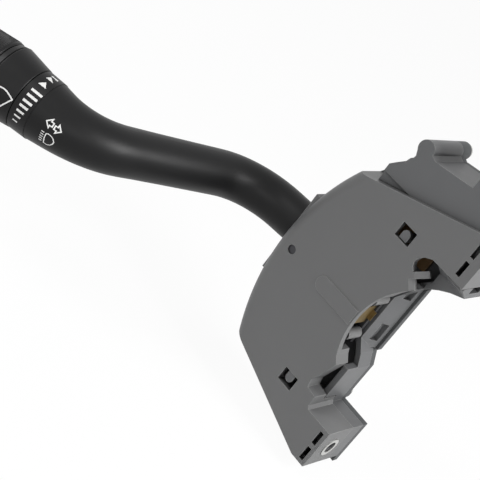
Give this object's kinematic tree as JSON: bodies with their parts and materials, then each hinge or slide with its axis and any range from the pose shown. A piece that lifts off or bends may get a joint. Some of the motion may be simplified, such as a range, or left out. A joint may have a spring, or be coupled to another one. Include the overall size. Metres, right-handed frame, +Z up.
{
  "type": "steering column hazard switch",
  "caption": "C-shaped steering-column switch with a hazard push button on a tower, an S-bent turn-signal lever that also pulls, and a turning knob with a push end.",
  "frame": {"origin": "on the steering column's axis, in the plane of the cover's outer face", "axes": "+X to the open side of the C, +Y down the column away from the driver, +Z up as installed"},
  "size_m": [0.1767, 0.1322, 0.146],
  "materials": {
    "cover": "satin moulded plastic",
    "housing": "satin moulded plastic",
    "plate": "matt moulded plastic",
    "lever": "fine-grained soft satin",
    "inner": "natural acetal",
    "dark_inner": "glass-filled plastic",
    "board": "laminate board",
    "steel": "zinc plated",
    "brass": "stamped strip",
    "button": "satin red plastic",
    "pawl": "acetal"
  },
  "bodies": {
    "housing": {"front_cover": "cover", "main_housing": "housing", "rear_plate": "plate", "housing_screws": "steel", "mount_inserts": "steel", "detent_frame": "dark_inner", "pawl_pin": "steel", "pawl_spring": "brass", "dimmer_board": "board", "dimmer_contacts": "brass", "turn_board": "board", "turn_contacts": "brass", "hazard_board": "board", "hazard_spring": "steel", "hazard_contacts": "brass", "signal_connector": "dark_inner", "wiper_connector": "dark_inner", "signal_pins": "brass", "wiper_pins": "brass"},
    "carrier": {"lever_carrier": "inner", "pivot_pins": "steel", "turn_contact": "brass", "dimmer_pin": "steel", "detent_spring": "steel"},
    "plunger": {"detent_plunger": "inner"},
    "lever": {"lever_root": "dark_inner", "lever_stalk": "lever", "scale_ring": "lever", "knob_spindle": "dark_inner", "wiper_wafer": "board", "washer_spring": "steel"},
    "dimmer": {"dimmer_slide": "inner", "dimmer_contact": "brass"},
    "knob": {"knob_body": "lever", "knob_grip": "lever", "wiper_rotor": "inner"},
    "washer": {"washer_button": "lever"},
    "hazard": {"hazard_button": "button", "hazard_slide": "inner", "hazard_contact": "brass"},
    "pawl": {"cancel_pawl": "pawl"}
  },
  "joints": [
    {"name": "turn_hinge", "type": "hinge", "parent": "housing", "child": "carrier", "pos_m": [-0.068, 0, 0], "axis": [0, 1, 0], "range_deg": [-8, 8]},
    {"name": "detent_slide", "type": "slide", "parent": "carrier", "child": "plunger", "axis": [-1, 0, 0], "range_m": [0, 0.001], "stiffness_N_per_m": 800, "springref_m": -0.002, "deforming": ["detent_spring"]},
    {"name": "pull_hinge", "type": "hinge", "parent": "carrier", "child": "lever", "pos_m": [-0.06, 0.0195, 0], "axis": [0, 0, 1], "range_deg": [0, 7], "stiffness_Nm_per_rad": 2.5, "springref_deg": -3.44},
    {"name": "dimmer_slide", "type": "slide", "parent": "housing", "child": "dimmer", "axis": [0, 1, 0], "range_m": [0, 0.00153]},
    {"name": "knob_turn", "type": "hinge", "parent": "lever", "child": "knob", "pos_m": [-0.1449, -0.0625, -0.0043], "axis": [-0.9565, -0.2875, -0.0498], "range_deg": [-15, 90]},
    {"name": "washer_push", "type": "slide", "parent": "lever", "child": "washer", "axis": [0.9565, 0.2875, 0.0498], "range_m": [0, 0.002], "stiffness_N_per_m": 600, "springref_m": -0.003, "deforming": ["washer_spring"]},
    {"name": "hazard_push", "type": "slide", "parent": "housing", "child": "hazard", "axis": [0, 0, -1], "range_m": [0, 0.0045], "stiffness_N_per_m": 500, "springref_m": -0.004, "deforming": ["hazard_spring"]},
    {"name": "pawl_rock", "type": "hinge", "parent": "housing", "child": "pawl", "pos_m": [-0.038, 0, 0], "axis": [0, 1, 0], "range_deg": [-6, 6], "stiffness_Nm_per_rad": 0.05}
  ],
  "couplings": [
    {"joint": "dimmer_slide", "follows": "pull_hinge", "m_per_rad": 0.012523}
  ]
}
